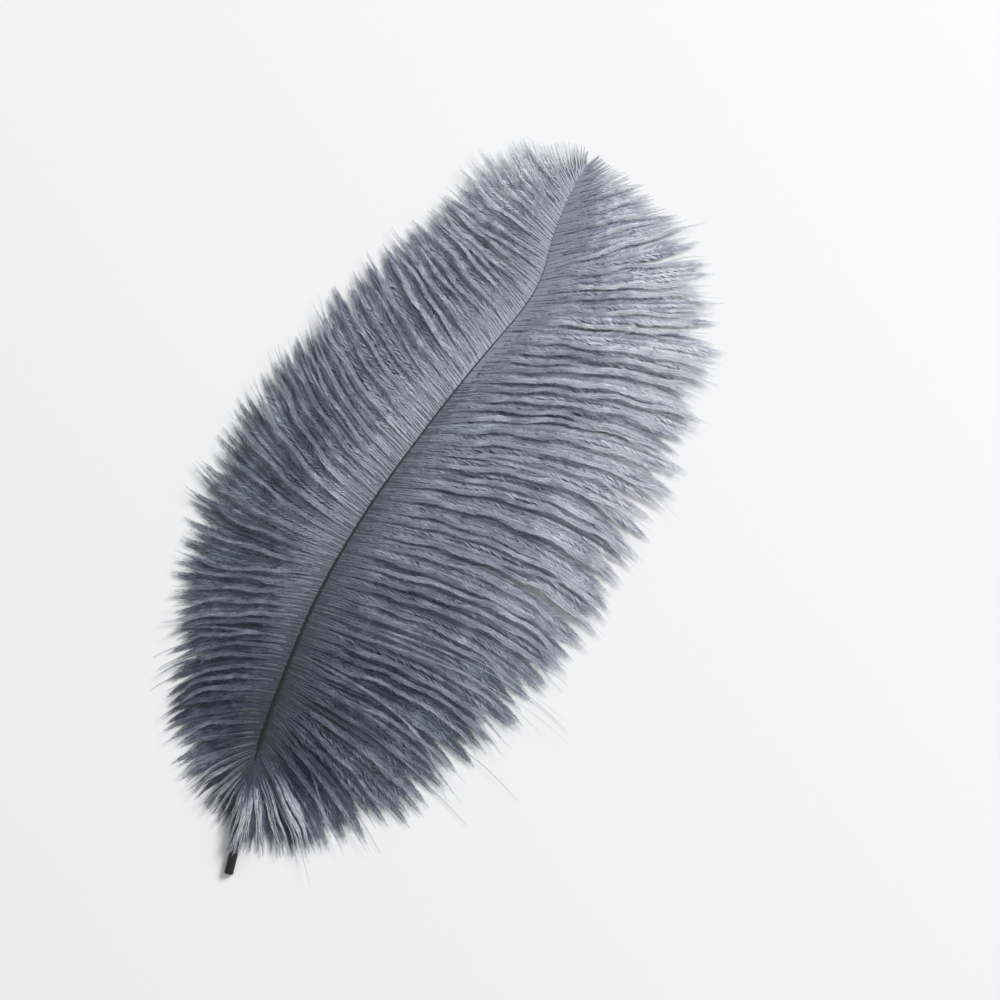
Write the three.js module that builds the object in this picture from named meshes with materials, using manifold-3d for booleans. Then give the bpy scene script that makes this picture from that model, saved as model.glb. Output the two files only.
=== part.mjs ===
// An ostrich plume lying on a table, hollow side down. Millimetres, +Z up.
// +Y runs from the cut end of the quill to the tip, and +X points to the wider side of the vane.
import * as THREE from "three";
import { mergeVertices } from "three/addons/utils/BufferGeometryUtils.js";
import Module from "manifold-3d";

// Shaft. Its route is seen from above, from the cut end (0, 0) to the tip, in a gentle S.
const shaftRoute = [
  [0, 0],
  [-6, 26],
  [-12.6, 54],
  [-17.4, 91],
  [-20, 131],
  [-17.6, 173],
  [-10.4, 219],
  [-4, 251],
  [4.2, 287],
  [5, 301],
  [1, 323],
  [-0.4, 345],
  [0, 356],
];
const shaftHeights = [1.8, 3.2, 5.6, 9.4, 13, 16, 18, 18, 15.4, 13.8, 10, 5.4, 2.6];
const shaftWidths = [
  { at: 0, width: 4.2 }, // at is a share of the shaft's length
  { at: 0.15, width: 3.7 },
  { at: 0.37, width: 3 },
  { at: 0.5, width: 2.3 },
  { at: 0.62, width: 1.6 },
  { at: 0.8, width: 1.1 },
  { at: 1, width: 0.6 },
];
const shaftSides = 8;
const shaftSteps = 24;

// Vane. Rows run from its lowest lock to the tip of the feather. turns are the angles between a
// lock and the shaft's own direction at the lock's root, middle and end, in degrees.
const vaneStart = 0.12; // where the lowest lock grows, as a share of the shaft
const wideSide = [
  { at: 0, turns: [178, 186, 188], length: 34 },
  { at: 0.015, turns: [166, 166, 172], length: 37 },
  { at: 0.03, turns: [144, 148, 158], length: 46 },
  { at: 0.07, turns: [116, 126, 138], length: 66 },
  { at: 0.15, turns: [96, 101, 119], length: 92 },
  { at: 0.27, turns: [80, 90, 112], length: 112 },
  { at: 0.4, turns: [62, 78, 102], length: 124 },
  { at: 0.55, turns: [50, 62, 90], length: 122 },
  { at: 0.7, turns: [47, 53, 66], length: 106 },
  { at: 0.76, turns: [48, 52, 57], length: 93 },
  { at: 0.82, turns: [53, 56, 58], length: 78 },
  { at: 0.87, turns: [66, 66, 66], length: 62 },
  { at: 0.91, turns: [56, 54, 50], length: 46 },
  { at: 0.95, turns: [46, 42, 38], length: 28 },
  { at: 0.98, turns: [38, 34, 30], length: 15 },
  { at: 1, turns: [24, 20, 16], length: 8 },
];
const narrowSide = [
  { at: 0, turns: [176, 184, 184], length: 31 },
  { at: 0.012, turns: [150, 156, 164], length: 29 },
  { at: 0.024, turns: [128, 138, 148], length: 31 },
  { at: 0.06, turns: [110, 124, 143], length: 43 },
  { at: 0.1, turns: [102, 118, 140], length: 50 },
  { at: 0.15, turns: [98, 122, 148], length: 56 },
  { at: 0.21, turns: [98, 115, 146], length: 61 },
  { at: 0.26, turns: [104, 114, 126], length: 66 },
  { at: 0.31, turns: [104, 107, 86], length: 73 },
  { at: 0.36, turns: [94, 88, 68], length: 78 },
  { at: 0.42, turns: [84, 71, 54], length: 80 },
  { at: 0.55, turns: [80, 69, 56], length: 76 },
  { at: 0.63, turns: [74, 69, 66], length: 72 },
  { at: 0.7, turns: [72, 80, 84], length: 67 },
  { at: 0.8, turns: [74, 80, 80], length: 60 },
  { at: 0.87, turns: [64, 62, 54], length: 54 },
  { at: 0.92, turns: [58, 56, 48], length: 42 },
  { at: 0.96, turns: [58, 54, 46], length: 25 },
  { at: 1, turns: [24, 20, 16], length: 8 },
];
const locksPerSide = 27;
const crowding = 0.35; // above 0, locks grow closer together near the quill and near the tip
const lockSides = 5; // one edge on top, and a flat face below
const lockStations = [0, 0.025, 0.2, 0.45, 0.675, 0.825, 0.925, 1]; // shares of its length
const lockWidths = [0, 1, 1, 1, 0.92, 0.7, 0.4, 0]; // its width at each station
const lockDepths = [0, 0.5, 0.76, 1, 1, 0.8, 0.5, 0]; // its thickness there
const lockOverlap = 0.64; // half a lock's width, as a share of the distance to its neighbour
const narrowestGap = 8; // locks that draw nearer to each other than this lie over one another
const slimness = 0.42; // but a lock is no wider than this share of its length
const widestLock = 20;
const lockThickness = 5;
const lockStart = 5; // how far on the shaft's other side a lock's root begins
const lockDrop = 0.8; // how far below the shaft's middle line it grows
const lockRest = 1.3; // height of a lock's middle line where it lies on the table
const drapeEnd = 0.72; // share of a lock's length that hangs between the shaft and the table
const unevenLength = 0.05; // every lock is a little longer or shorter than the rows say
const unevenStep = 2.4; // radians from one lock to the next in that variation
const lineSteps = 40; // steps in which a lock's middle line is worked out

const centre = [7, 181.8]; // the middle of the outline, which becomes the part's origin
const table = { width: 600, length: 800, height: 60 }; // larger than the feather and as tall as need be
const nearby = 0.01; // share of the shaft over which its direction is taken

const wasm = await Module();
wasm.setup();

const route = new THREE.CatmullRomCurve3(
  shaftRoute.map(([x, y], i) => new THREE.Vector3(x, y, shaftHeights[i])),
  false,
  "centripetal",
);

const mix = (a, b, share) => a + (b - a) * share;
const radians = (degrees) => (degrees * Math.PI) / 180;

// The rows of a table before and after a share, and how far between them it lies.
function rowsAround(rows, share) {
  const next = Math.max(1, rows.findIndex((row) => row.at >= share));
  const [low, high] = [rows[next - 1], rows[next]];
  return [low, high, (share - low.at) / (high.at - low.at)];
}

// The middle line of the lock that grows at a share of the vane, as one point for each station.
// hand is 1 on the wide side and -1 on the narrow one.
function lockLine(side, hand, share, number) {
  const [low, high, part] = rowsAround(side, share);
  const [first, middle, last] = low.turns.map((turn, i) => mix(turn, high.turns[i], part));
  const length = mix(low.length, high.length, part);
  const along = mix(vaneStart, 1, share);
  const root = route.getPointAt(along);
  const forward = route.getTangentAt(along);
  const heading = Math.atan2(forward.y, forward.x);
  const step = (length * (1 + unevenLength * Math.sin(number * unevenStep))) / lineSteps;
  const ahead = (turn) => {
    const angle = heading - hand * radians(turn);
    return new THREE.Vector3(Math.cos(angle), Math.sin(angle), 0);
  };
  const line = [root.clone().addScaledVector(ahead(first), -lockStart)];
  const at = root.clone();
  for (let i = 1; i <= lineSteps; i++) {
    const done = (i - 0.5) / lineSteps;
    const turn = mix(mix(first, 2 * middle - (first + last) / 2, done), last, done);
    at.addScaledVector(ahead(turn), step);
    const hang = Math.min(1, i / lineSteps / drapeEnd);
    at.z = mix(lockRest, root.z - lockDrop, (1 + Math.cos(Math.PI * hang)) / 2);
    line.push(at.clone());
  }
  line[0].z -= lockDrop;
  return lockStations.map((station) => line[Math.round(station * lineSteps)]);
}

// A geometry's vertices moved to points that place(station, angle, reach) gives. station counts the
// rings from the start, angle goes round the middle line, and reach is 0 on it and 1 on the skin.
function wrapped(geometry, rings, place) {
  const position = geometry.getAttribute("position");
  const point = new THREE.Vector3();
  for (let i = 0; i < position.count; i++) {
    point.fromBufferAttribute(position, i);
    const [station, reach] = rings(point);
    place(point, station, Math.atan2(point.z, point.x), reach);
    position.setXYZ(i, point.x, point.y, point.z);
  }
  return geometry;
}

// The directions across a line at one of its points: sideways and level, and up.
function across(before, after) {
  const ahead = after.clone().sub(before).normalize();
  const sideways = ahead.clone().cross(new THREE.Vector3(0, 0, 1)).normalize();
  return [sideways, sideways.clone().cross(ahead)];
}

// A closed geometry as a solid.
function solid(geometry) {
  geometry.deleteAttribute("normal");
  geometry.deleteAttribute("uv");
  const merged = mergeVertices(geometry, 1e-3);
  const corners = new Uint32Array(merged.index.array);
  const made = (triVerts) =>
    new wasm.Manifold(
      new wasm.Mesh({ numProp: 3, vertProperties: merged.attributes.position.array, triVerts }),
    );
  const first = made(corners);
  return first.volume() > 0 ? first : made(corners.reverse());
}

// One lock: a flattened spindle along its middle line, with a point at each end.
function lock(line, gaps) {
  const last = line.length - 1;
  const widest = Math.min(widestLock, slimness * line[0].distanceTo(line[last]));
  const sphere = new THREE.SphereGeometry(1, lockSides, last);
  const fromPole = (point) => Math.acos(THREE.MathUtils.clamp(point.y, -1, 1)) / Math.PI;
  const rings = (point) => [Math.round(fromPole(point) * last), 1];
  return solid(
    wrapped(sphere, rings, (point, station, angle) => {
      const [sideways, up] = across(line[Math.max(0, station - 1)], line[Math.min(last, station + 1)]);
      const halfWidth = Math.min(widest / 2, gaps[station] * lockOverlap) * lockWidths[station];
      const halfDepth = (lockThickness / 2) * lockDepths[station];
      point
        .copy(line[station])
        .addScaledVector(sideways, Math.sin(angle) * halfWidth)
        .addScaledVector(up, Math.cos(angle) * halfDepth);
    }),
  );
}

// Where a lock of a side grows, as a share of the vane.
function shareOf(number) {
  const evenly = number / (locksPerSide - 1);
  return mix(evenly, (1 - Math.cos(Math.PI * evenly)) / 2, crowding);
}

// All locks of one side, each as wide as its distance to its neighbours asks.
function locksOf(side, hand) {
  const lines = [...Array(locksPerSide)].map((_, i) =>
    lockLine(side, hand, shareOf(i), hand * i),
  );
  return lines.map((line, i) => {
    const neighbours = [lines[i - 1] ?? lines[i + 1], lines[i + 1] ?? lines[i - 1]];
    const gaps = line.map((point, station) => {
      const [before, after] = neighbours.map((neighbour) => point.distanceTo(neighbour[station]));
      return Math.max(narrowestGap, (before + after) / 2);
    });
    return lock(line, gaps);
  });
}

// The quill and the shaft: one tapered rod, cut square at the quill's end.
function shaft() {
  const rod = new THREE.CylinderGeometry(1, 1, 1, shaftSides, shaftSteps);
  const rings = (point) => [Math.round((0.5 - point.y) * shaftSteps), Math.hypot(point.x, point.z)];
  return solid(
    wrapped(rod, rings, (point, station, angle, reach) => {
      const along = station / shaftSteps;
      const [sideways, up] = across(
        route.getPointAt(Math.max(0, along - nearby)),
        route.getPointAt(Math.min(1, along + nearby)),
      );
      const [low, high, part] = rowsAround(shaftWidths, along);
      const radius = (mix(low.width, high.width, part) / 2) * reach;
      point
        .copy(route.getPointAt(along))
        .addScaledVector(sideways, Math.cos(angle) * radius)
        .addScaledVector(up, Math.sin(angle) * radius);
    }),
  );
}

// What grows from the shaft is one with it, and is flat where it lies on the table.
function feather() {
  const above = new THREE.BoxGeometry(table.width, table.length, table.height);
  above.translate(0, centre[1], table.height / 2);
  const grown = [...locksOf(wideSide, 1), ...locksOf(narrowSide, -1)]
    .reduce((joined, next) => joined.add(next), shaft())
    .intersect(solid(above));
  const [body] = grown.decompose().sort((a, b) => b.volume() - a.volume());
  const mesh = body.getMesh();
  const geometry = new THREE.BufferGeometry();
  geometry.setAttribute("position", new THREE.BufferAttribute(new Float32Array(mesh.vertProperties), 3));
  geometry.setIndex(new THREE.BufferAttribute(mesh.triVerts, 1));
  geometry.translate(-centre[0], -centre[1], 0);
  geometry.computeVertexNormals();
  return geometry;
}

const dyedBarbs = new THREE.MeshStandardMaterial({ color: 0x6d7380, roughness: 0.8, metalness: 0 });
const plume = new THREE.Mesh(feather(), dyedBarbs);
plume.name = "feather";

const ostrichFeather = new THREE.Group();
ostrichFeather.add(plume);

export default ostrichFeather;
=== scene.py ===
import math
import bpy
import numpy as np
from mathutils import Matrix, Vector


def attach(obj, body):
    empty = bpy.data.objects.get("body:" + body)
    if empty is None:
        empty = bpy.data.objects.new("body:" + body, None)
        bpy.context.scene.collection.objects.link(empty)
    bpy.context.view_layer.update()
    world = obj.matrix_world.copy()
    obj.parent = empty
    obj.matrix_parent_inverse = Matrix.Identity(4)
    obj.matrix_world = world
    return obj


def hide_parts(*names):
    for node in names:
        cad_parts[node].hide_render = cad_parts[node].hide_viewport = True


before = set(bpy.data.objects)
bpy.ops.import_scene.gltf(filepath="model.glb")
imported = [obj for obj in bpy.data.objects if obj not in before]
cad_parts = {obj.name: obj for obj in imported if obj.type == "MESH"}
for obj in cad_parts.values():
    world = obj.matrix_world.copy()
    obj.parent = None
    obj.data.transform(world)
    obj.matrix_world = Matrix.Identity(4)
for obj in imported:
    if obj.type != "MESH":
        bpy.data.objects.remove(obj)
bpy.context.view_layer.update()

# One ostrich plume, lying hollow side down. Sizes below are in millimetres and degrees, seen from
# above: +Y runs from the cut end of the quill (0, 0) to the tip, +X to the wider side of the vane.
mm = 0.001

plume = {
    "route": [(0, 0), (-6, 26), (-12.6, 54), (-17.4, 91), (-20, 131), (-17.6, 173), (-10.4, 219),
              (-4, 251), (4.2, 287), (5, 301), (1, 323), (-0.4, 345), (0, 356)],
    "heights": [1.8, 3.2, 5.6, 9.4, 13, 16, 18, 18, 15.4, 13.8, 10, 5.4, 2.6],
    "widths": [(0, 4.2), (0.15, 3.7), (0.37, 3), (0.5, 2.3), (0.62, 1.6), (0.8, 1.1), (1, 0.6)],
    "middle": (7, 181.8),  # of the outline, which is the frame's origin
    "vaneStart": 0.12,  # where the lowest barbs grow, as a share of the shaft
    "evened": 0.012,  # share of the shaft over which its direction is evened out, each way
}


# Small helpers.

def linear(hexColour):
    # an sRGB hex value as the linear colour that sockets take
    parts = [int(hexColour[i:i + 2], 16) / 255 for i in (1, 3, 5)]
    return tuple(c / 12.92 if c <= 0.04045 else ((c + 0.055) / 1.055) ** 2.4 for c in parts) + (1,)


def addNode(tree, kind, settings=None, links=None):
    # one node with its properties, input values and links; inputs go by name or by number
    node = tree.nodes.new(kind)
    for name, value in (settings or {}).items():
        if isinstance(name, int) or name in node.inputs:
            node.inputs[name].default_value = value
        else:
            setattr(node, name, value)
    for name, source in (links or {}).items():
        tree.links.new(source, node.inputs[name])
    return node


def smoothStep(low, high, value):
    part = np.clip((value - low) / (high - low), 0, 1)
    return part * part * (3 - 2 * part)


def between(rows, place):
    # the value at a place, from rows of (place, value)
    return np.interp(place, *zip(*rows))


def blend(pair, part):
    # from the first value to the second while part goes from 0 to 1; with the ropes that lie on top
    # as the part, the first value is for the ropes below and the second for those on top
    return pair[0] + (pair[1] - pair[0]) * part


def catmullRom(points, perSpan):
    # a smooth line through the points, with the knots spaced by the root of the distance
    points = np.array(points, float)
    points = np.vstack([2 * points[0] - points[1], points, 2 * points[-1] - points[-2]])
    line = []
    for a, b, c, d in zip(points, points[1:], points[2:], points[3:]):
        knots = np.cumsum([0] + [np.sqrt(np.linalg.norm(q - p)) for p, q in ((a, b), (b, c), (c, d))])
        t = np.linspace(knots[1], knots[2], perSpan, endpoint=False)[:, None]
        t0, t1, t2, t3 = knots
        ab = (t1 - t) / (t1 - t0) * a + (t - t0) / (t1 - t0) * b
        bc = (t2 - t) / (t2 - t1) * b + (t - t1) / (t2 - t1) * c
        cd = (t3 - t) / (t3 - t2) * c + (t - t2) / (t3 - t2) * d
        abc = (t2 - t) / (t2 - t0) * ab + (t - t0) / (t2 - t0) * bc
        bcd = (t3 - t) / (t3 - t1) * bc + (t - t1) / (t3 - t1) * cd
        line.append((t2 - t) / (t2 - t1) * abc + (t - t1) / (t2 - t1) * bcd)
    return np.vstack(line + [points[-2:-1]])


shaftLine = catmullRom([(x, y, z) for (x, y), z in zip(plume["route"], plume["heights"])], 40)
shaftReach = np.concatenate([[0], np.cumsum(np.linalg.norm(np.diff(shaftLine, axis=0), axis=1))])
shaftLength = shaftReach[-1]


def onShaft(share):
    # places on the shaft's middle line at shares of its length
    return np.stack([np.interp(share * shaftLength, shaftReach, shaftLine[:, k]) for k in range(3)], -1)


def headingAt(share):
    # the shaft's direction seen from above, in radians
    before, after = np.maximum(0, share - plume["evened"]), np.minimum(1, share + plume["evened"])
    ahead = onShaft(after) - onShaft(before)
    return np.arctan2(ahead[..., 1], ahead[..., 0])


def radiusAt(share):
    return between(plume["widths"], share) / 2


def directionsAlong(line):
    # the directions ahead, sideways and up at every point of lines
    ahead = np.gradient(line, axis=-2)
    ahead /= np.linalg.norm(ahead, axis=-1, keepdims=True)
    across = np.cross(ahead, [0, 0, 1])
    return ahead, across, np.cross(across, ahead)


def placed(points):
    # millimetres from the quill's end to metres in the frame
    return (points - np.array([*plume["middle"], 0])) * mm


def meshPiece(name, mesh):
    piece = bpy.data.objects.new(name, mesh)
    bpy.context.scene.collection.objects.link(piece)
    return piece


# The camera, the light and the floor.

view = {
    "turn": 26.8,  # the feather's +Y leans this far clockwise from the top of the render
    "aim": (33.2, 204.8),  # the point below its middle
    "width": 450,  # of the floor that it takes in
    "height": 1500,
    "sensor": 36,
}
light = {
    "side": (1.0, 0.75),  # where the light stands, to the right and the top of the render
    "distance": 4000,
    "height": 3200,
    "size": 1900,
    "power": 244,
    "room": "#f5f6f8",
    "sky": 0.46,
    "floor": "#f4f4f4",
    "floorReach": 4000,
}

turn = math.radians(view["turn"])
rightward = Vector((math.cos(turn), math.sin(turn), 0))
upward = Vector((-math.sin(turn), math.cos(turn), 0))

cameraData = bpy.data.cameras.new("camera")
cameraData.sensor_width = view["sensor"]
cameraData.lens = view["sensor"] * view["height"] / view["width"]
camera = bpy.data.objects.new("camera", cameraData)
camera.location = placed(np.array([*view["aim"], view["height"]]))
camera.rotation_euler = (0, 0, turn)
bpy.context.scene.collection.objects.link(camera)
bpy.context.scene.camera = camera

lampData = bpy.data.lights.new("softLight", "AREA")
lampData.size = light["size"] * mm
lampData.energy = light["power"]
lamp = bpy.data.objects.new("softLight", lampData)
beside = (rightward * light["side"][0] + upward * light["side"][1]).normalized()
lamp.location = beside * light["distance"] * mm + Vector((0, 0, light["height"] * mm))
lamp.rotation_euler = (-lamp.location).to_track_quat("-Z", "Y").to_euler()
bpy.context.scene.collection.objects.link(lamp)

world = bpy.data.worlds.new("paleRoom")
world.use_nodes = True
world.node_tree.nodes["Background"].inputs["Color"].default_value = linear(light["room"])
world.node_tree.nodes["Background"].inputs["Strength"].default_value = light["sky"]
bpy.context.scene.world = world
bpy.context.scene.view_settings.view_transform = "Standard"


def paintedBoard():
    # Matt white board: takes the soft shadow and gives no reflection.
    material = bpy.data.materials.new("mattPaintedBoard")
    material.use_nodes = True
    shader = material.node_tree.nodes["Principled BSDF"]
    shader.inputs["Base Color"].default_value = linear(light["floor"])
    shader.inputs["Roughness"].default_value = 0.9
    return material


edge = light["floorReach"] * mm
corners = [(-edge, -edge, 0), (edge, -edge, 0), (edge, edge, 0), (-edge, edge, 0)]
floorData = bpy.data.meshes.new("floor")
floorData.from_pydata(corners, [], [(0, 1, 2, 3)])
floorData.materials.append(paintedBoard())
floor = meshPiece("floor", floorData)
print("camera, light and floor are set")


# The vane. Its rows run from the lowest barbs to the tip, at shares of the vane. turns are the
# angles between a barb and the shaft's direction at the barb's root, middle and end.

wideSide = {
    "hand": 1,
    "at": [0, 0.015, 0.03, 0.07, 0.15, 0.27, 0.4, 0.55, 0.7, 0.76, 0.82, 0.87, 0.91, 0.95, 0.98, 1],
    "turns": [(178, 186, 188), (166, 166, 172), (144, 148, 158), (116, 126, 138), (96, 101, 119),
              (80, 90, 112), (62, 78, 102), (50, 62, 90), (47, 53, 66), (48, 52, 57), (53, 56, 58),
              (66, 66, 66), (56, 54, 50), (46, 42, 38), (38, 34, 30), (24, 20, 16)],
    "lengths": [34, 37, 46, 66, 92, 112, 124, 122, 106, 93, 78, 62, 46, 28, 15, 8],
    # how pale the barbs are beside the shaft, up the vane: darker towards the quill, partly the dye and
    # partly painted shade for the denser, self-shadowed fluff there
    "tone": [(0, 0.16), (0.1, 0.16), (0.3, 0.335), (0.55, 0.505), (0.8, 0.53), (1, 0.5)],
    # how much paler it gets with the distance from the shaft
    "paler": [(0, 0.05), (12, 0.08), (20, 0.14), (60, 0.1), (90, 0.12), (130, 0.17)],
    # how much paler a barb's end is than its root, up the vane
    "paleEnd": [(0, 0.62), (0.05, 0.46), (0.1, 0.2), (0.6, 0.3), (0.82, 0.36), (1, 0.34)],
    "wisps": 0.36,  # how much longer the long bare barbs are
    "seed": 12,
}
narrowSide = {
    "hand": -1,
    "at": [0, 0.016, 0.03, 0.06, 0.1, 0.15, 0.21, 0.26, 0.31, 0.36, 0.42, 0.55, 0.63, 0.7, 0.8, 0.87,
           0.92, 0.96, 1],
    "turns": [(178, 184, 184), (160, 168, 174), (132, 142, 152), (110, 124, 143), (102, 118, 140),
              (98, 122, 148), (98, 115, 146), (104, 114, 126), (104, 107, 86), (94, 88, 68),
              (84, 71, 54), (80, 69, 56), (74, 69, 66), (72, 80, 84), (74, 80, 80), (64, 62, 54),
              (58, 56, 48), (58, 54, 46), (24, 20, 16)],
    "lengths": [31, 28, 31, 43, 50, 56, 61, 66, 73, 78, 80, 76, 72, 67, 60, 54, 42, 25, 8],
    "tone": [(0, 0.15), (0.1, 0.15), (0.3, 0.36), (0.55, 0.53), (0.8, 0.48), (1, 0.53)],
    # on this side painted light and shade: paler beside the shaft, where the barbs' roots stand higher and
    # catch the light, and darker far out, where the vane slopes away from it
    "paler": [(0, 0.24), (12, 0.28), (25, 0.22), (40, 0.06), (70, -0.05), (90, -0.07)],
    "paleEnd": [(0, 0.62), (0.05, 0.34), (0.1, 0.04), (0.6, 0.08), (0.82, 0.24), (1, 0.3)],
    "wisps": 0.14,
    "seed": 23,
}
barbs = {
    "spacing": 1.0,  # along the shaft
    "jitter": 0.25,  # how far each is off its place, as a share of the spacing
    "points": 28,  # on each barb's line
    # how high on the shaft they grow, as a share of its radius, up the vane
    "seat": [(0, 1.1), (0.02, 1), (0.06, 0.7), (0.15, 0.74), (0.3, 0.83), (0.5, 0.83), (0.75, 0.75),
             (1, 0.6)],
    "drapeEnd": 0.72,  # share of a barb's length that hangs between the shaft and the table
    "rest": 1.5,  # height of the middle line where it lies on the table
    "floor": 0.15,  # nothing of them hangs lower than this above the table
    "uneven": 0.07,  # how much shorter single barbs are
    "unevenLimit": 0.2,
    "turns": (0.64, 1.6, 3.2),  # degrees by which they stray at the root, the middle and the end
    "strays": 0.06,  # share of the barbs on top that leave their rope
    "strayTurns": (1.8, 9, 16.2),
    "strayCling": 0.15,  # how much of the clinging is left to them
    "wisps": 0.075,  # share of the lower barbs that are long and nearly bare
    "wispsFrom": (0.04, 0.3),  # the stretch of the vane where those grow
    "wispsReach": (0.4, 1),  # how much of a side's "wisps" they get
    "rootWidth": [(0, 1.9), (0.3, 1.9), (0.5, 1.7), (1, 1.4)],  # up the vane
    "rootEnd": (5, 18),  # the distances from the shaft where that width starts and ends to shrink
    "width": [(16, 0.42), (60, 0.294), (130, 0.14)],  # with the distance from the shaft
    "tipLength": 20,  # in which the width shrinks again
    "tipWidth": 0.35,  # share of it that is left at the very end
    "thickness": 0.09,  # of a barb, as a share of its width
}
skirt = {  # the barbs at the vane's lower end, which lie back over the quill
    "barbs": 90,  # that grow there besides the others
    "reach": 0.055,  # share of the vane
    "crowd": 1.5,  # above 1, more of them grow at its very end
    "fades": (0.03, 0.07),  # the stretch in which the looks go over into those of the other barbs
    "rope": 3,  # how many of them cling together
    "cling": (0.62, 0.07),  # how much more closely, in the ropes below and in those on top
    "width": 1.05,
    "barbules": (3.5, 1.3),  # their length, in the ropes below and in those on top
    "onQuill": 1.1,  # height over the quill's middle line at which barbs cross it, in its radius
    "onQuillWidth": 0.3,  # how far from the middle they keep that height, in its radius
    "fall": 7,  # further out they sink by the square of the distance, divided by this
    "pile": (0.6, 14),  # how much higher they lie, and how far below the vane that is reached
    "quillEnd": 0.005,  # how far below the lowest barbs the quill counts as bare, as a share of the shaft
}
ropes = {  # barbs that cling together; every other rope lies on top of its neighbours
    "barbs": ((3, 4), (2, 2, 3)),  # in the ropes below and in those on top
    "finerBelow": 0.35,  # the share of the vane under which they have the first of these numbers
    "layers": (-0.2, 2.1),  # height of the ropes below and of those on top
    "layerStray": 0.5,  # how far single ropes are off it
    "lifted": (6, 28),  # the distances from the shaft between which they reach it
    "overQuill": (3, 16),  # the same where they cross the quill
    "overQuillLess": 0.5,  # how much lower they are there
    "cling": (0.06, 0.86),  # how closely, in the ropes below and in those on top
    "clingFrom": [(0, 2), (0.06, 8), (0.35, 7), (0.6, 5), (1, 3)],  # distance from the shaft, up the vane
    "clingBy": 24,  # the distance at which they cling fully
    "clingWithin": 0.3,  # or sooner, within this share of a short barb
    "letGo": (0.2, 0.7),  # how much of that single barbs lose again towards their ends
    "letGoFrom": 0.7,  # the share of a barb from where they lose it
    "radius": 0.5,
    "around": 3,  # places for barbs round a rope
    "twist": 34,  # length in which the barbs turn once round each other
    "fan": 1.0,  # how much wider the barbs below are spread than they grow
    "even": 0.3,  # how far the barbs and ropes below stray, as a share of those on top
    "turns": (0.72, 2.4, 4.8),  # degrees by which ropes stray at the root, the middle and the end
    "turnLimit": 1.5,  # times as much at most
    "unevenLength": 0.06,
    "unevenLimits": (-0.14, 0.06),
    "ripple": 0.6,  # how far they snake from side to side
    "rippleLength": 27,
    "rippleFrom": (8, 30),  # the distances between which it sets in
    "rippleStart": (40, 0.7),  # how its start moves up the vane, and strays, in radians
}
waves = {  # slow waves that neighbouring ropes share: how fast they run up the vane, and how many degrees
    "middle": ((21, 1.53), (47, 0.918)),
    "end": ((27, 3.4), (61, 2.38)),
}
barbules = {
    "spacing": 0.118,  # along a barb, both its sides counted
    "length": (5.2, 3.1),  # in the ropes below and in those on top
    "shorterAbove": 0.88,  # how much of those lengths is left near the tip of the feather
    "shorterFrom": (0.6, 0.95),  # the stretch of the vane where they shrink to that
    "tufts": (0.08, 0.08),  # how unevenly long they are along a barb, and from barb to barb
    "rootLength": 1.5,  # beside the shaft, where they lie packed
    "grown": (5, 22),  # distances from the shaft between which they get their full length
    "tipStretch": 22,  # length of the barb's end in which they get shorter again
    "tipShare": 0.15,  # of their length that is left at the very end
    "least": 0.3,
    "onStrays": 0.8,  # share of the length on loose barbs
    "onWisps": (0.3, 2.5),  # their length at the bare end and at the root of the long bare barbs
    "wispsBare": (0.3, 0.9),  # the shares of such a barb between which it gets bare
    "sizes": (0.7, 1.15),  # of single ones, as a share of the length that they have there
    "packed": 1.6,  # where they are shorter than this, every other pair is left out
    "bend": 0.45,  # place of their bend, as a share of the length
    "rise": 0.06,  # of the bend above the barb
    "width": (0.094, 0.063),  # as a share of the length
    "spread": (43, 30),  # angle to the barb at the root, in the ropes below and in those on top
    "curl": (15, 4),  # the same at the tip
    "droop": 0.25,
    "roll": 40,  # how far they stray round the barb
    "rollShares": (0.7, 1.5),  # of that, in the ropes below and in those on top
    "yaw": 9,
}
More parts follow.
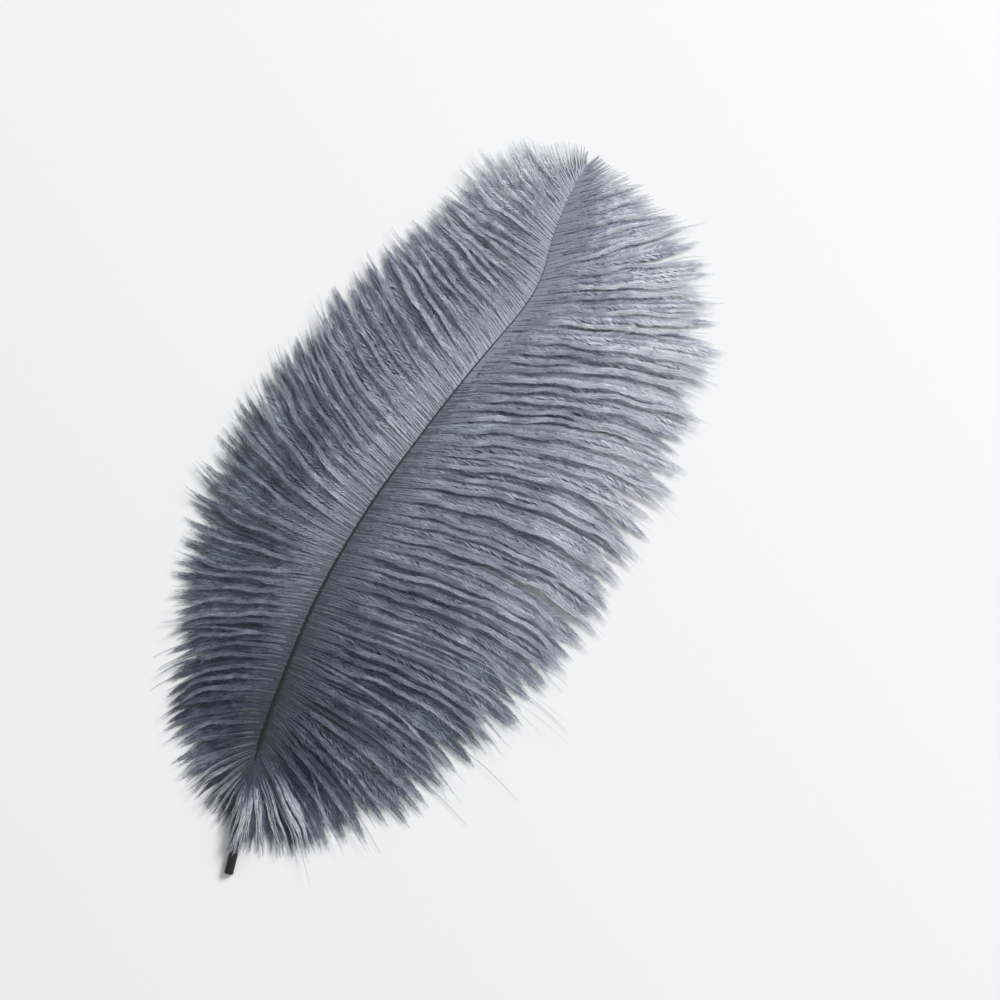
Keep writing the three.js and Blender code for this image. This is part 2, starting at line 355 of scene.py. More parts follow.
dyeAndPaintedLight = {
    # painted shade: the ropes below lie in the gaps between those on top, so they are made darker
    "below": -0.07,  # how much darker the ropes below are
    "fromShaft": (5, 18),  # the distances between which the ropes and spots begin to show
    "atShaft": 0.25,  # share of their unlikeness that shows beside it all the same
    "palerUp": [(0, 0.1), (0.15, 0.5), (0.35, 1)],  # how much of a side's "paler" shows, up the vane
    "ropes": 0.035,  # how unlike single ropes are
    "skirtRopes": 4,  # times as much in the skirt
    "barbs": 0.04,
    "strands": 0.1,  # how much paler single ropes are near the quill
    "strandsUp": [(0, 1), (0.12, 1), (0.28, 0)],
    "strandsFrom": (4, 20),  # the distances from the shaft between which that begins
    # painted shade: the ends of the ropes below stay darker than those on top
    "endsBelow": (0.3, 0.7),  # how much less the ends below get pale, in the vane and in the skirt
    "endsFrom": (0.25, 0.05),  # the share of a barb from where its end gets pale, in the same two
    "endsBy": (0.8, 0.55),  # and the share where it is palest
    "spots": (0.06, 0.03),  # along a rope and along a barb
    "tint": 0.45,  # how mauve it is, from 0 to 1
    "tintWaves": ((13, 0.2), (9, 0.25)),  # how fast that changes up the vane, and how much
    "tintLength": 31,  # and the distance from the shaft in which the second changes too
    "tintRopes": 0.08,
    "tintLimits": (0.05, 0.95),
    # partly the dye thinning at the ends and partly painted light on the outer fluff of the ropes; it is also
    # the step of the stems' painted highlight
    "lift": 0.16,  # how much paler a barbule's tip is than its root
    # painted highlight along the stems, twice as strong on the ropes on top
    "crown": (1.2, 2.4),  # how much paler stems are than roots, in lifts, in ropes below and on top
    "crownFrom": (14, 45),  # the distances from the shaft between which that begins
    # painted highlight on the stems of the ropes on top in the skirt
    "skirtCrown": 0.4,  # how much more on top in the skirt
    "skirtCrownFrom": (4, 12),
    # painted highlight on the tops of the ropes, where the light falls
    "crest": 0.066,  # how much paler a barbule is for each millimetre above its rope's middle
    "crestLimits": (-0.2, 0.25),
    "limits": (0.02, 0.98),  # of how pale it gets in all
    "edges": 0.004,  # how much more mauve one edge of a barbule is, which keeps the map's faces open
}


def rowsOf(side, share):
    # angles and length at shares of the vane, with the rows' corners rounded off
    fine = np.linspace(0, 1, 401)
    window = np.hanning(23)
    rounded = []
    for column in (*zip(*side["turns"]), side["lengths"]):
        values = np.interp(fine, side["at"], column)
        padded = np.pad(values, len(window) // 2, mode="reflect", reflect_type="odd")
        rounded.append(np.interp(share, fine, np.convolve(padded, window / window.sum(), "valid")))
    return np.stack(rounded[:3], -1), rounded[3]


def waved(share, phases):
    # degrees by which the slow waves turn the root, the middle and the end of barbs
    middle, end = (sum(size * np.sin(share * pace + phase) for (pace, size), phase in zip(waves[name], own))
                   for name, own in (("middle", phases[:2]), ("end", phases[2:4])))
    return np.stack([0 * share, middle, end], -1)


def barbPath(side, share, turns, length):
    # the middle lines of barbs, as points in millimetres: one row for each barb
    steps = barbs["points"] - 1
    along = plume["vaneStart"] + (1 - plume["vaneStart"]) * share
    root = onShaft(along)
    done = (np.arange(steps) + 0.5) / steps
    first, middle, last = (turns[:, k:k + 1] for k in range(3))
    turned = first + (4 * middle - 3 * first - last) * done + (2 * first + 2 * last - 4 * middle) * done ** 2
    angle = headingAt(along)[:, None] - side["hand"] * np.radians(turned)
    step = (length / steps)[:, None]
    x = root[:, :1] + np.cumsum(np.cos(angle) * step, 1)
    y = root[:, 1:2] + np.cumsum(np.sin(angle) * step, 1)
    hang = np.minimum(1, (np.arange(steps) + 1) / steps / barbs["drapeEnd"])
    start = root.copy()
    start[:, 2] += radiusAt(along) * between(barbs["seat"], share)
    z = barbs["rest"] + (start[:, 2:] - barbs["rest"]) * (1 + np.cos(np.pi * hang)) / 2
    return np.concatenate([start[:, None], np.stack([x, y, z], -1)], 1)


def overQuill(line, lift):
    # barbs that cross the bare quill lie on it, those of the upper ropes on the others
    low = shaftReach / shaftLength < plume["vaneStart"] - skirt["quillEnd"]
    quill, share = shaftLine[low], shaftReach[low] / shaftLength
    crossing = (line[..., 1] < quill[:, 1].max()) & (line[..., 1] > 0)
    near = line[crossing]
    every = 4  # one in so many of the quill's points is looked at
    apart = np.linalg.norm(near[:, None, :2] - quill[None, ::every, :2], axis=2)
    closest = apart.argmin(1) * every
    radius = radiusAt(share[closest])
    away = np.maximum(0, apart.min(1) - skirt["onQuillWidth"] * radius)
    crest = quill[closest, 2] + skirt["onQuill"] * radius - away ** 2 / skirt["fall"]
    more, reachedBy = skirt["pile"]
    crest += more * smoothStep(0, reachedBy, quill[:, 1].max() - near[:, 1])
    near[:, 2] = np.maximum(near[:, 2], crest + lift[crossing])
    line = line.copy()
    line[crossing] = near
    return line


def plantBarbs(rng):
    # where the barbs of one side grow, as shares of the vane, and the number of each one's rope
    count = int(round((1 - plume["vaneStart"]) * shaftLength / barbs["spacing"]))
    evenly = (np.arange(count) + 0.5 + rng.uniform(-barbs["jitter"], barbs["jitter"], count)) / count
    extra = skirt["reach"] * rng.random(skirt["barbs"]) ** skirt["crowd"]
    share = np.sort(np.concatenate([evenly, extra]))
    rope = np.zeros(len(share), int)
    number = 0
    at = 0
    while at < len(share):
        sizes = ropes["barbs"][number % 2]
        size = rng.choice(sizes) if share[at] > ropes["finerBelow"] else sizes[0]
        if share[at] <= skirt["reach"]:
            size = skirt["rope"]
        rope[at:at + size] = number
        at += size
        number += 1
    return share, rope


def layRopes(side, share, top, phases, rng):
    # the middle lines of the ropes and their lengths
    number = len(share)
    steady = blend((ropes["even"], 1), top)
    turns, length = rowsOf(side, share)
    stray = rng.normal(0, 1, (number, 3)).clip(-ropes["turnLimit"], ropes["turnLimit"])
    turns = turns + waved(share, phases) + stray * ropes["turns"] * steady[:, None]
    uneven = rng.normal(0, ropes["unevenLength"], number).clip(*ropes["unevenLimits"])
    length = length * (1 + steady * uneven)
    line = barbPath(side, share, turns, length)
    distance = length[:, None] * np.linspace(0, 1, barbs["points"])
    climb, strayStart = ropes["rippleStart"]
    start = (share * climb + rng.normal(0, strayStart, number))[:, None]
    snake = np.sin(2 * np.pi * distance / ropes["rippleLength"] + start)
    snake = snake * ropes["ripple"] * smoothStep(*ropes["rippleFrom"], distance)
    return line, snake, length


def layBarbs(side, share, rope, ropeShare, ropeLength, top, phases, rng):
    # the lines of single barbs before they cling together, and which of them are loose and which bare
    count = len(share)
    steady = blend((ropes["even"], 1), top[rope])
    fanned = ropeShare[rope] + (share - ropeShare[rope]) * (1 + ropes["fan"] * (1 - top[rope]))
    turns = rowsOf(side, fanned.clip(0, 1))[0]
    turns = turns + waved(fanned, phases) + rng.normal(0, 1, (count, 3)) * barbs["turns"] * steady[:, None]
    length = ropeLength[rope] * rowsOf(side, share)[1] / rowsOf(side, ropeShare)[1][rope]
    length = length * (1 - abs(rng.normal(0, barbs["uneven"], count)).clip(0, barbs["unevenLimit"]))
    loose = rng.random(count) < barbs["strays"] * top[rope]
    turns[loose] += rng.normal(0, 1, (loose.sum(), 1)) * barbs["strayTurns"]
    wisp = rng.random(count) < barbs["wisps"]
    wisp &= (share > barbs["wispsFrom"][0]) & (share < barbs["wispsFrom"][1])
    length[wisp] *= 1 + side["wisps"] * rng.uniform(*barbs["wispsReach"], wisp.sum())
    return barbPath(side, share, turns, length), length, loose | wisp, wisp


def clingAlong(share, rope, top, length, distance, inSkirt, loose, rng):
    # how closely each barb follows its rope at every point, from 0 to 1
    cling = blend(ropes["cling"], top[rope])[:, None]
    cling = cling + blend(skirt["cling"], top[rope])[:, None] * inSkirt
    start = between(ropes["clingFrom"], share)[:, None]
    end = np.minimum(ropes["clingBy"], start + ropes["clingWithin"] * length[:, None])
    cling = cling * smoothStep(0, 1, (distance - start) / (end - start))
    lost = rng.uniform(*ropes["letGo"], (len(share), 1))
    cling = cling * (1 - lost * smoothStep(ropes["letGoFrom"], 1, distance / length[:, None]))
    cling[loose] *= barbs["strayCling"]
    return cling


def barbuleLengths(share, top, length, distance, inSkirt, loose, wisp, rng):
    # how long the barbules are at every point of the barbs
    toEnd = length[:, None] - distance
    full = blend(barbules["length"], top)[:, None]
    full = full * (1 + (barbules["shorterAbove"] - 1) * smoothStep(*barbules["shorterFrom"], share))[:, None]
    alongBarb, fromBarbToBarb = barbules["tufts"]
    tufts = 1 + rng.normal(0, alongBarb, distance.shape)
    tufts = tufts + rng.normal(0, fromBarbToBarb, (len(share), 1))
    fluff = barbules["rootLength"]
    fluff = fluff + (full * tufts - fluff) * smoothStep(*barbules["grown"], distance)
    fluff = np.minimum(fluff, full + (blend(skirt["barbules"], top)[:, None] - full) * inSkirt)
    fluff = fluff * np.clip(barbules["tipShare"] + toEnd / barbules["tipStretch"], 0, 1)
    fluff = np.maximum(fluff, barbules["least"])
    fluff[loose] *= barbules["onStrays"]
    clad = 1 - smoothStep(*barbules["wispsBare"], distance / length[:, None])
    fluff[wisp] = np.minimum(fluff, blend(barbules["onWisps"], clad))[wisp]
    return fluff


def barbWidths(share, length, distance, inSkirt):
    # ribbons beside the shaft, and threads further out
    width = between(barbs["width"], distance)
    rootWidth = between(barbs["rootWidth"], share)[:, None]
    width = width + (rootWidth - width) * (1 - smoothStep(*barbs["rootEnd"], distance))
    width = np.minimum(width, width + (skirt["width"] - width) * inSkirt)
    return width * np.clip(barbs["tipWidth"] + (length[:, None] - distance) / barbs["tipLength"], 0, 1)


def tonesOfDyeAndShade(side, share, rope, ropeShare, top, length, distance, inSkirt, rng):
    # how pale the barbs are at every point: the dye, with painted shade on the ropes below and painted light
    # and shade across the vane
    number = len(ropeShare)
    away = smoothStep(*dyeAndPaintedLight["fromShaft"], distance)
    tone = between(side["tone"], share)[:, None]
    # the side's "paler" rows; on the narrow side these are painted light and shade across the vane
    tone = tone + between(side["paler"], distance) * between(dyeAndPaintedLight["palerUp"], share)[:, None]
    # painted shade: the ropes below are darker
    tone = tone + blend((dyeAndPaintedLight["below"], 0), top[rope])[:, None] * away
    strand = abs(rng.normal(0, dyeAndPaintedLight["strands"], number)) * top * between(dyeAndPaintedLight["strandsUp"], ropeShare)
    varied = rng.normal(0, dyeAndPaintedLight["ropes"], number)[rope][:, None] * blend((1, dyeAndPaintedLight["skirtRopes"]), inSkirt)
    varied = varied + rng.normal(0, dyeAndPaintedLight["barbs"], (len(share), 1))
    varied = varied + strand[rope][:, None] * smoothStep(*dyeAndPaintedLight["strandsFrom"], distance)
    spots = rng.normal(0, dyeAndPaintedLight["spots"][0], (number, barbs["points"]))[rope]
    spots = spots + rng.normal(0, dyeAndPaintedLight["spots"][1], distance.shape)
    tone = tone + varied * blend((dyeAndPaintedLight["atShaft"], 1), away) + spots * away
    below = (1 - top[rope])[:, None]
    # painted shade: the ends of the ropes below get less pale than those on top
    paleEnd = between(side["paleEnd"], share)[:, None] * (1 - below * blend(dyeAndPaintedLight["endsBelow"], inSkirt))
    start, end = blend(dyeAndPaintedLight["endsFrom"], inSkirt), blend(dyeAndPaintedLight["endsBy"], inSkirt)
    return tone + paleEnd * smoothStep(start, end, distance / length[:, None])


def dyeTints(share, rope, number, distance, phase, rng):
    # how mauve the dye is, from 0 to 1
    (slow, slowSize), (fast, fastSize) = dyeAndPaintedLight["tintWaves"]
    tint = dyeAndPaintedLight["tint"] + slowSize * np.sin(share * slow + phase)[:, None]
    tint = tint + fastSize * np.sin(distance / dyeAndPaintedLight["tintLength"] + share[:, None] * fast)
    return (tint + rng.normal(0, dyeAndPaintedLight["tintRopes"], number)[rope][:, None]).clip(*dyeAndPaintedLight["tintLimits"])


def sideLines(side):
    # every barb of one side: its line, and what its fluff and colour follow
    rng = np.random.default_rng(side["seed"])
    share, rope = plantBarbs(rng)
    number = rope[-1] + 1
    ropeShare = np.array([share[rope == r].mean() for r in range(number)])
    top = (np.arange(number) % 2).astype(float)
    height = blend(ropes["layers"], top) + rng.uniform(-ropes["layerStray"], ropes["layerStray"], number)
    phases = rng.uniform(0, 2 * np.pi, 6)
    straight, snake, ropeLength = layRopes(side, ropeShare, top, phases, rng)
    across, above = directionsAlong(straight)[1:]
    ropeLine = straight + snake[..., None] * across

    line, length, loose, wisp = layBarbs(side, share, rope, ropeShare, ropeLength, top, phases, rng)
    distance = length[:, None] * np.linspace(0, 1, barbs["points"])
    inSkirt = 1 - smoothStep(*skirt["fades"], share)[:, None]
    cling = clingAlong(share, rope, top, length, distance, inSkirt, loose, rng)
    order = np.arange(len(share)) - np.searchsorted(rope, rope)
    angle = 2 * np.pi * (order[:, None] / ropes["around"] + distance / ropes["twist"])
    angle = angle + rng.uniform(0, 6.3, number)[rope][:, None]
    spread = np.cos(angle)[..., None] * across[rope] + np.sin(angle)[..., None] * above[rope]
    spread = spread * ropes["radius"]
    line = line * (1 - cling[..., None]) + (ropeLine[rope] + spread) * cling[..., None]
    line[..., 2] += height[rope][:, None] * smoothStep(*ropes["lifted"], distance)
    lift = np.maximum(0, height - ropes["overQuillLess"])[rope][:, None]
    line = overQuill(line, lift * smoothStep(*ropes["overQuill"], distance))

    fluff = barbuleLengths(share, top[rope], length, distance, inSkirt, loose, wisp, rng)
    tone = tonesOfDyeAndShade(side, share, rope, ropeShare, top, length, distance, inSkirt, rng)
    onTop = np.broadcast_to(top[rope][:, None], tone.shape)
    # painted highlight: paler stems, more on the ropes on top and in the skirt
    crown = blend(dyeAndPaintedLight["crown"], onTop) * smoothStep(*dyeAndPaintedLight["crownFrom"], distance)
    crown = crown + dyeAndPaintedLight["skirtCrown"] * onTop * inSkirt * smoothStep(*dyeAndPaintedLight["skirtCrownFrom"], distance)
    return {"line": line, "length": length, "fluff": fluff, "tone": tone, "crown": crown, "top": onTop,
            "width": barbWidths(share, length, distance, inSkirt),
            "tint": dyeTints(share, rope, number, distance, phases[4], rng),
            "level": line[..., 2] - cling * spread[..., 2]}


def dyedBarbs():
    # Ostrich flue: soft keratin hairs, dyed in a bath. The dye takes deep near the skin and thin at the ends,
    # so every lock goes from slate to silver, with a soft sheen and no gloss. The map that picks the colour
    # also holds painted light and shade: paler crests and stems, darker ropes below.
    colours = {
        "cool": [(0, "#1e222b"), (0.25, "#434b58"), (0.5, "#717b8b"), (0.75, "#a3abb9"), (1, "#e3e7ee")],
        "mauve": [(0, "#23222f"), (0.25, "#49495e"), (0.5, "#77798f"), (0.75, "#a8a9bb"), (1, "#e7e6ee")],
        "roughness": 0.62,
        "specular": 0.35,
        "sheen": 0.25,
        "sheenRoughness": 0.45,
    }
    material = bpy.data.materials.new("dyedOstrichFlue")
    material.use_nodes = True
    tree = material.node_tree
    shader = tree.nodes["Principled BSDF"]
    # the barbs' own map: across it runs how pale they are, the dye with painted light and shade, and up it
    # how mauve
    ownMap = addNode(tree, "ShaderNodeUVMap", {"uv_map": "OFBake"})
    parts = addNode(tree, "ShaderNodeSeparateXYZ", links={0: ownMap.outputs[0]})
    ramps = []
    for name in ("cool", "mauve"):
        ramp = addNode(tree, "ShaderNodeValToRGB", links={0: parts.outputs[0]})
        stops = ramp.color_ramp.elements
        while len(stops) < len(colours[name]):
            stops.new(0.5)
        for stop, (place, colour) in zip(stops, colours[name]):
            stop.position = place
            stop.color = linear(colour)
        ramps.append(ramp)
    mixed = addNode(tree, "ShaderNodeMix", {"data_type": "RGBA"},
                    {0: parts.outputs[1], 6: ramps[0].outputs[0], 7: ramps[1].outputs[0]})
    tree.links.new(mixed.outputs[2], shader.inputs["Base Color"])
    shader.inputs["Roughness"].default_value = colours["roughness"]
    shader.inputs["Specular IOR Level"].default_value = colours["specular"]
    shader.inputs["Sheen Weight"].default_value = colours["sheen"]
    shader.inputs["Sheen Roughness"].default_value = colours["sheenRoughness"]
    return material


def barbuleShape(name, hand, width, spread, curl):
    # one barbule of unit length beside a barb that runs along +Y: a sliver with a bend in the middle
    first, second = math.radians(spread), math.radians(curl)
    at = barbules["bend"]
    bend = np.array([hand * at * math.sin(first), at * math.cos(first), barbules["rise"]])
    tip = bend + (1 - at) * np.array([hand * math.sin(second), math.cos(second), -barbules["droop"]])
    half = np.array([math.cos((first + second) / 2), -hand * math.sin((first + second) / 2), 0])
    half = half * width / 2
    corners = [(0, 0, 0), tuple(bend + half), tuple(bend - half), tuple(tip)]
    mesh = bpy.data.meshes.new(name)
    mesh.from_pydata(corners, [], [(0, 1, 2), (2, 1, 3)])
    mesh.attributes.new("reach", "FLOAT", "POINT").data.foreach_set("value", [0, 0.5, 0.5, 1])
    mesh.attributes.new("across", "FLOAT", "POINT").data.foreach_set("value", [0, 1, -1, 0])
    return meshPiece(name, mesh)


# The tree of Geometry Nodes that turns guide lines into barbs with their barbules.

def named(tree, name):
    # a value that the points carry
    return addNode(tree, "GeometryNodeInputNamedAttribute", {"data_type": "FLOAT", "Name": name}).outputs[0]


def maths(tree, operation, *values):
    # one Math node, whose inputs take numbers as values and sockets as links
    node = addNode(tree, "ShaderNodeMath", {"operation": operation})
    for socket, value in zip(node.inputs, values):
        if isinstance(value, (int, float)):
            socket.default_value = value
        else:
            tree.links.new(value, socket)
    return node.outputs[0]


def within(tree, value, limits):
    # the value, held between two limits
    return maths(tree, "MAXIMUM", limits[0], maths(tree, "MINIMUM", value, limits[1]))


def chance(tree, given, low, high, offset):
    # a random value for every point
    seed = maths(tree, "ADD", given["Seed"], offset)
    return addNode(tree, "FunctionNodeRandomValue", {"data_type": "FLOAT", 2: low, 3: high},
                   {"Seed": seed}).outputs[1]


def growStems(tree, curves):
    # the barbs' own stems, flat where they leave the shaft
    ring = addNode(tree, "GeometryNodeCurvePrimitiveCircle", {"Resolution": 3, "Radius": 0.5})
    flat = addNode(tree, "GeometryNodeTransform",
                   {"Rotation": (0, 0, math.pi / 2), "Scale": (barbs["thickness"], 1, 1)},
                   {0: ring.outputs[0]})
    corner = addNode(tree, "GeometryNodeInputIndex").outputs[0]
    sided = addNode(tree, "GeometryNodeStoreNamedAttribute", {"data_type": "FLOAT", "Name": "across"},
                    {0: flat.outputs[0], "Value": corner})
    marked = addNode(tree, "GeometryNodeStoreNamedAttribute",
                     {"data_type": "FLOAT", "Name": "stem", "Value": 1.0}, {0: sided.outputs[0]})
    return addNode(tree, "GeometryNodeCurveToMesh", {"Fill Caps": True},
                   {0: curves, 1: marked.outputs[0], 2: named(tree, "width")}).outputs[0]


def growBarbules(tree, given, curves, shapes):
    # barbules along both sides of every barb
    points = addNode(tree, "GeometryNodeCurveToPoints", {"mode": "LENGTH"},
                     {0: curves, "Length": given["Spacing"]})
    sideways = addNode(tree, "ShaderNodeVectorMath", {"operation": "CROSS_PRODUCT", 1: (0, 0, 1)},
                       {0: points.outputs["Tangent"]})
    above = addNode(tree, "ShaderNodeVectorMath", {"operation": "CROSS_PRODUCT"},
                    {0: sideways.outputs[0], 1: points.outputs["Tangent"]})
    along = addNode(tree, "FunctionNodeAxesToRotation", {"primary_axis": "Y", "secondary_axis": "Z"},
                    {0: points.outputs["Tangent"], 1: above.outputs[0]})
    roll = maths(tree, "MULTIPLY", chance(tree, given, -1.0, 1.0, 1), given["Roll"])
    below, onTop = barbules["rollShares"]
    rollShare = maths(tree, "MULTIPLY_ADD", named(tree, "top"), onTop - below, below)
    roll = maths(tree, "MULTIPLY", roll, rollShare)
    yaw = maths(tree, "MULTIPLY", chance(tree, given, -1.0, 1.0, 2), given["Yaw"])
    stray = addNode(tree, "ShaderNodeCombineXYZ", links={"Y": roll, "Z": yaw})
    turned = addNode(tree, "FunctionNodeEulerToRotation", links={0: stray.outputs[0]})
    strayed = addNode(tree, "FunctionNodeRotateRotation", {"rotation_space": "LOCAL"},
                      {0: along.outputs[0], 1: turned.outputs[0]})
    choices = addNode(tree, "GeometryNodeJoinGeometry")
    for shape in reversed(shapes):
        source = addNode(tree, "GeometryNodeObjectInfo", {"Object": shape})
        single = addNode(tree, "GeometryNodeGeometryToInstance", links={0: source.outputs["Geometry"]})
        tree.links.new(single.outputs[0], choices.inputs[0])
    number = addNode(tree, "GeometryNodeInputIndex").outputs[0]
    leftOrRight = maths(tree, "MODULO", number, 2)
    choice = maths(tree, "MULTIPLY_ADD", maths(tree, "ROUND", named(tree, "top")), 2, leftOrRight)
    # every other pair is left out where they lie packed beside the shaft
    chosen = maths(tree, "MAXIMUM", maths(tree, "LESS_THAN", maths(tree, "MODULO", number, 4), 1.5),
                   maths(tree, "GREATER_THAN", named(tree, "fluff"), barbules["packed"] * mm))
    size = maths(tree, "MULTIPLY", named(tree, "fluff"), chance(tree, given, *barbules["sizes"], 3))
    planted = addNode(tree, "GeometryNodeInstanceOnPoints", {"Pick Instance": True},
                      {"Points": points.outputs[0], "Instance": choices.outputs[0], "Selection": chosen,
                       "Instance Index": choice, "Rotation": strayed.outputs[0], "Scale": size})
    return addNode(tree, "GeometryNodeRealizeInstances", links={0: planted.outputs[0]}).outputs[0]


def dyeAndLightMap(tree, given, height):
    # the map that the colour follows: paler at the tips, partly dye and partly painted light, and a painted
    # highlight on the crests of the ropes and on the stems
    # painted highlight: paler the higher a point lies above its rope's middle
    crest = maths(tree, "MULTIPLY", maths(tree, "SUBTRACT", height, named(tree, "level")), given["Crest"])
    crest = within(tree, crest, dyeAndPaintedLight["crestLimits"])
    # the barbules' paler tips, partly dye and partly painted light, and the stems' painted highlight
    paler = maths(tree, "MULTIPLY_ADD", named(tree, "stem"), named(tree, "crown"), named(tree, "reach"))
    pale = maths(tree, "MULTIPLY_ADD", paler, given["Lift"], named(tree, "tone"))
    pale = within(tree, maths(tree, "ADD", pale, crest), dyeAndPaintedLight["limits"])
    mauve = maths(tree, "MULTIPLY_ADD", named(tree, "across"), dyeAndPaintedLight["edges"], named(tree, "tint"))
    return addNode(tree, "ShaderNodeCombineXYZ", links={0: pale, 1: mauve}).outputs[0]


def growingTree(shapes):
    # the whole tree, with its inputs
    tree = bpy.data.node_groups.new("growBarbs", "GeometryNodeTree")
    face = tree.interface
    face.new_socket("Geometry", in_out="OUTPUT", socket_type="NodeSocketGeometry")
    face.new_socket("Geometry", in_out="INPUT", socket_type="NodeSocketGeometry")
    for name, kind in (("Spacing", "Float"), ("Roll", "Float"), ("Yaw", "Float"), ("Lift", "Float"),
                       ("Crest", "Float"), ("Table", "Float"), ("Seed", "Int"), ("Material", "Material")):
        face.new_socket(name, in_out="INPUT", socket_type="NodeSocket" + kind)
    given = addNode(tree, "NodeGroupInput").outputs

    guides = addNode(tree, "GeometryNodeMeshToCurve", links={0: given["Geometry"]})
    curves = addNode(tree, "GeometryNodeSetCurveNormal", {"mode": "Z_UP"}, {0: guides.outputs[0]}).outputs[0]
    both = addNode(tree, "GeometryNodeJoinGeometry")
    tree.links.new(growStems(tree, curves), both.inputs[0])
    tree.links.new(growBarbules(tree, given, curves, shapes), both.inputs[0])

    # nothing goes below the table
    place = addNode(tree, "ShaderNodeSeparateXYZ",
                    links={0: addNode(tree, "GeometryNodeInputPosition").outputs[0]})
    height = maths(tree, "MAXIMUM", place.outputs[2], given["Table"])
    above = addNode(tree, "ShaderNodeCombineXYZ", links={0: place.outputs[0], 1: place.outputs[1], 2: height})
    lying = addNode(tree, "GeometryNodeSetPosition", links={0: both.outputs[0], "Position": above.outputs[0]})

    mapped = addNode(tree, "GeometryNodeStoreNamedAttribute",
                     {"data_type": "FLOAT2", "domain": "CORNER", "Name": "OFBake"},
                     {0: lying.outputs[0], "Value": dyeAndLightMap(tree, given, place.outputs[2])})
    whole = addNode(tree, "GeometryNodeRealizeInstances", links={0: mapped.outputs[0]})
    painted = addNode(tree, "GeometryNodeSetMaterial", links={0: whole.outputs[0], 2: given["Material"]})
    addNode(tree, "NodeGroupOutput", links={0: painted.outputs[0]})
    return tree


def guideMesh(name, lines, chosen):
    # the chosen barbs' lines as loose edges, with their sizes and colours on the points
    line = placed(lines["line"][chosen])
    rows, points = line.shape[:2]
    first = np.arange(rows * points).reshape(rows, points)
    edges = np.stack([first[:, :-1].ravel(), first[:, 1:].ravel()], -1)
    mesh = bpy.data.meshes.new(name)
    mesh.vertices.add(rows * points)
    mesh.vertices.foreach_set("co", line.ravel())
    mesh.edges.add(len(edges))
    mesh.edges.foreach_set("vertices", edges.ravel())
    for key, scale in (("fluff", mm), ("width", mm), ("level", mm), ("tone", 1), ("tint", 1),
                       ("top", 1), ("crown", 1)):
        values = np.ascontiguousarray(lines[key][chosen] * scale, dtype=np.float32)
        mesh.attributes.new(key, "FLOAT", "POINT").data.foreach_set("value", values.ravel())
    return meshPiece(name, mesh)


def grow(name, lines, chosen, tree, material, seed):
    # one piece of the vane out of the chosen barbs
    guides = guideMesh(name + "Guides", lines, chosen)
    modifier = guides.modifiers.new("grow", "NODES")
    modifier.node_group = tree
    values = {"Spacing": barbules["spacing"] * mm, "Roll": math.radians(barbules["roll"]),
              "Yaw": math.radians(barbules["yaw"]), "Lift": dyeAndPaintedLight["lift"],
              "Crest": dyeAndPaintedLight["crest"] / mm, "Table": barbs["floor"] * mm, "Seed": seed,
              "Material": material}
    for socket in tree.interface.items_tree:
        if socket.in_out == "INPUT" and socket.name in values:
            modifier[socket.identifier] = values[socket.name]
    depsgraph = bpy.context.evaluated_depsgraph_get()
    mesh = bpy.data.meshes.new_from_object(guides.evaluated_get(depsgraph), depsgraph=depsgraph)
    guides.modifiers.remove(modifier)
    bpy.data.objects.remove(guides)
    mesh.name = name
    mesh.polygons.foreach_set("use_smooth", [True] * len(mesh.polygons))
    piece = meshPiece(name, mesh)
    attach(piece, "root")
    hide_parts("feather")
    triangles = sum(len(p.vertices) - 2 for p in mesh.polygons)
    print(name, chosen.stop - chosen.start, "barbs,", triangles, "triangles")
    return triangles


def growVane():
    # six pieces, a lower, a middle and an upper one on each side, with as much length of barbs in each
    flue = dyedBarbs()
    shapes = [barbuleShape("barbule", hand, *sizes)
              for sizes in zip(barbules["width"], barbules["spread"], barbules["curl"]) for hand in (1, -1)]
    tree = growingTree(shapes)
    total = 0
    for sideName, side in (("wide", wideSide), ("narrow", narrowSide)):
        lines = sideLines(side)
        grown = np.cumsum(lines["length"])
        cuts = np.searchsorted(grown, grown[-1] * np.array([0, 1 / 3, 2 / 3, 1]))
        for number, stretch in enumerate(("Lower", "Middle", "Upper")):
            chosen = slice(cuts[number], cuts[number + 1] + (number == 2))
            total += grow(sideName + "Vane" + stretch, lines, chosen, tree, flue, side["seed"] * 10 + number)
    for shape in shapes:
        bpy.data.objects.remove(shape)
    print("the vane is grown, with", total, "triangles")


growVane()


# The shaft with its quill.

shaft = {
    "rings": 150,
    "sides": 20,
    "groove": 0.32,  # depth of the furrow below, as a share of the radius
    "grooveWidth": 0.42,  # in radians round the shaft
    "grooveFrom": (0.12, 0.22),  # the shares of the shaft between which it begins
    "rim": 0.93,  # radius of the worn rim of the cut end, as a share of the quill's
    "pit": 5,  # depth of the hollow in that end
    "wall": 0.66,  # and its radius
    "pith": 0.3,  # and the same at its bottom
    "wallTo": 0.3,  # share of its depth with nearly even walls
    "mouth": 1.06,  # its mouth is this many times wider
    "worn": 0.12,  # how far the rim stands out
    "point": (0.5, 0.3),  # radius of the closed tip, as a share of the shaft's there, and its length
    "least": 0.02,  # height above the table
}


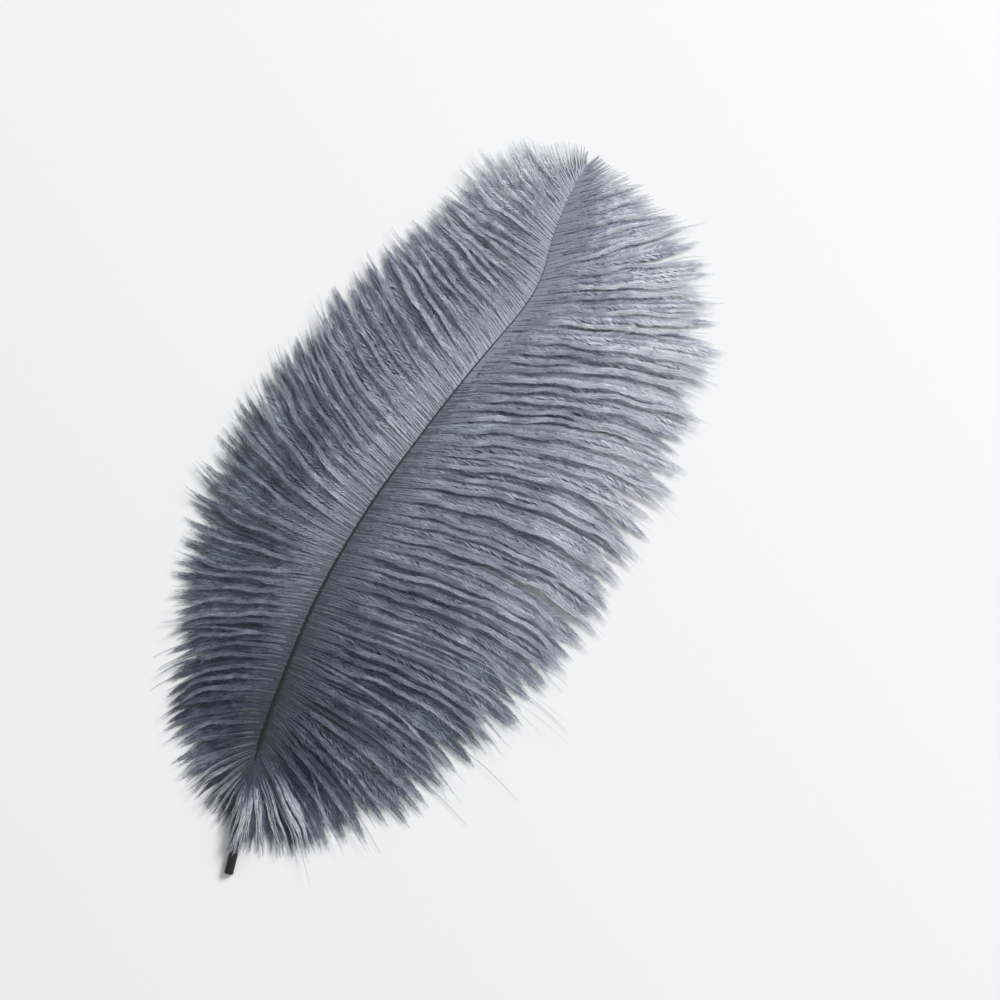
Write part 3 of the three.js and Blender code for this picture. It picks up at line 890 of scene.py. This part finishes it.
def dyedQuill():
    # Quill keratin out of the same dye bath: close to black where it is thick and cut, slate along
    # the shaft, with fine lengthwise streaks and the dull gloss of a fingernail.
    colours = {
        "cut": "#0b0c0e",
        "shaft": "#16181c",
        "tip": "#36383d",
        "roughness": 0.52,
        "ior": 1.55,
        "streaks": (3300, 66, 3300),  # in a metre across and along, so about 0.3 mm wide and 15 mm long
        "streakShades": (0.75, 1.3),  # how dark and how pale they make the colour
        "bump": 0.3,
        "bumpHeight": 0.1,
    }
    material = bpy.data.materials.new("dyedQuillKeratin")
    material.use_nodes = True
    tree = material.node_tree
    shader = tree.nodes["Principled BSDF"]
    place = addNode(tree, "ShaderNodeTexCoord")
    parts = addNode(tree, "ShaderNodeSeparateXYZ", links={0: place.outputs["Object"]})
    low, high = -plume["middle"][1] * mm, (plume["route"][-1][1] - plume["middle"][1]) * mm
    along = addNode(tree, "ShaderNodeMapRange", {1: low, 2: high}, {0: parts.outputs[1]})
    ramp = addNode(tree, "ShaderNodeValToRGB", links={0: along.outputs[0]})
    stops = ramp.color_ramp.elements
    stops.new(0.5)
    for stop, (at, colour) in zip(stops, ((0.05, "cut"), (0.3, "shaft"), (1, "tip"))):
        stop.position = at
        stop.color = linear(colours[colour])
    stretched = addNode(tree, "ShaderNodeMapping", {"Scale": colours["streaks"]},
                        {0: place.outputs["Object"]})
    streaks = addNode(tree, "ShaderNodeTexNoise", {"Scale": 1, "Detail": 3}, {0: stretched.outputs[0]})
    darkest, palest = colours["streakShades"]
    faint = addNode(tree, "ShaderNodeMapRange", {3: darkest, 4: palest}, {0: streaks.outputs[0]})
    shaded = addNode(tree, "ShaderNodeMix", {"data_type": "RGBA", "blend_type": "MULTIPLY", 0: 1},
                     {6: ramp.outputs[0], 7: faint.outputs[0]})
    tree.links.new(shaded.outputs[2], shader.inputs["Base Color"])
    bump = addNode(tree, "ShaderNodeBump",
                   {"Strength": colours["bump"], "Distance": colours["bumpHeight"] * mm},
                   {"Height": streaks.outputs[0]})
    tree.links.new(bump.outputs[0], shader.inputs["Normal"])
    shader.inputs["Roughness"].default_value = colours["roughness"]
    shader.inputs["IOR"].default_value = colours["ior"]
    return material


def shaftRings():
    # rings of points round the middle line, from the bottom of the pit in the cut end to the tip
    share = np.linspace(0, 1, shaft["rings"])
    centre = onShaft(share)
    ahead, across, above = directionsAlong(centre)
    across /= np.linalg.norm(across, axis=1, keepdims=True)
    above = np.cross(across, ahead)
    angle = np.arange(shaft["sides"]) / shaft["sides"] * 2 * np.pi
    below = np.exp(-((np.mod(angle + np.pi, 2 * np.pi) - np.pi / 2) / shaft["grooveWidth"]) ** 2)
    furrow = smoothStep(*shaft["grooveFrom"], share)[:, None] * below * shaft["groove"]
    radius = radiusAt(share)[:, None] * (1 - furrow)

    def ring(at, size):
        return (centre[at] + size[..., None] * (np.cos(angle)[:, None] * across[at]
                                                + np.sin(angle)[:, None] * above[at]))

    inward = ahead[0] * shaft["pit"]
    bottom = ring(0, radius[0] * shaft["pith"]) + inward
    wall = ring(0, radius[0] * shaft["wall"]) + inward * shaft["wallTo"]
    mouth = ring(0, radius[0] * shaft["wall"] * shaft["mouth"])
    rim = ring(0, radius[0] * shaft["rim"]) - ahead[0] * shaft["worn"]
    pointRadius, pointLength = shaft["point"]
    end = ring(shaft["rings"] - 1, radius[-1] * pointRadius) + ahead[-1] * pointLength
    return [bottom, wall, mouth, rim, *(ring(i, radius[i]) for i in range(shaft["rings"])), end]


def buildShaft():
    rings = shaftRings()
    sides = shaft["sides"]
    verts = np.vstack(rings)
    verts[:, 2] = np.maximum(verts[:, 2], shaft["least"])
    faces = []
    for low in range(0, len(verts) - sides, sides):
        for k in range(sides):
            after = (k + 1) % sides
            faces.append((low + k, low + sides + k, low + sides + after, low + after))
    faces.append(tuple(range(sides)))
    faces.append(tuple(range(len(verts) - sides, len(verts)))[::-1])
    mesh = bpy.data.meshes.new("shaft")
    mesh.from_pydata([tuple(v) for v in placed(verts)], [], faces)
    mesh.polygons.foreach_set("use_smooth", [True] * len(mesh.polygons))
    mesh.materials.append(dyedQuill())
    piece = meshPiece("shaft", mesh)
    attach(piece, "root")
    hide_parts("feather")
    print("the shaft is made")


buildShaft()
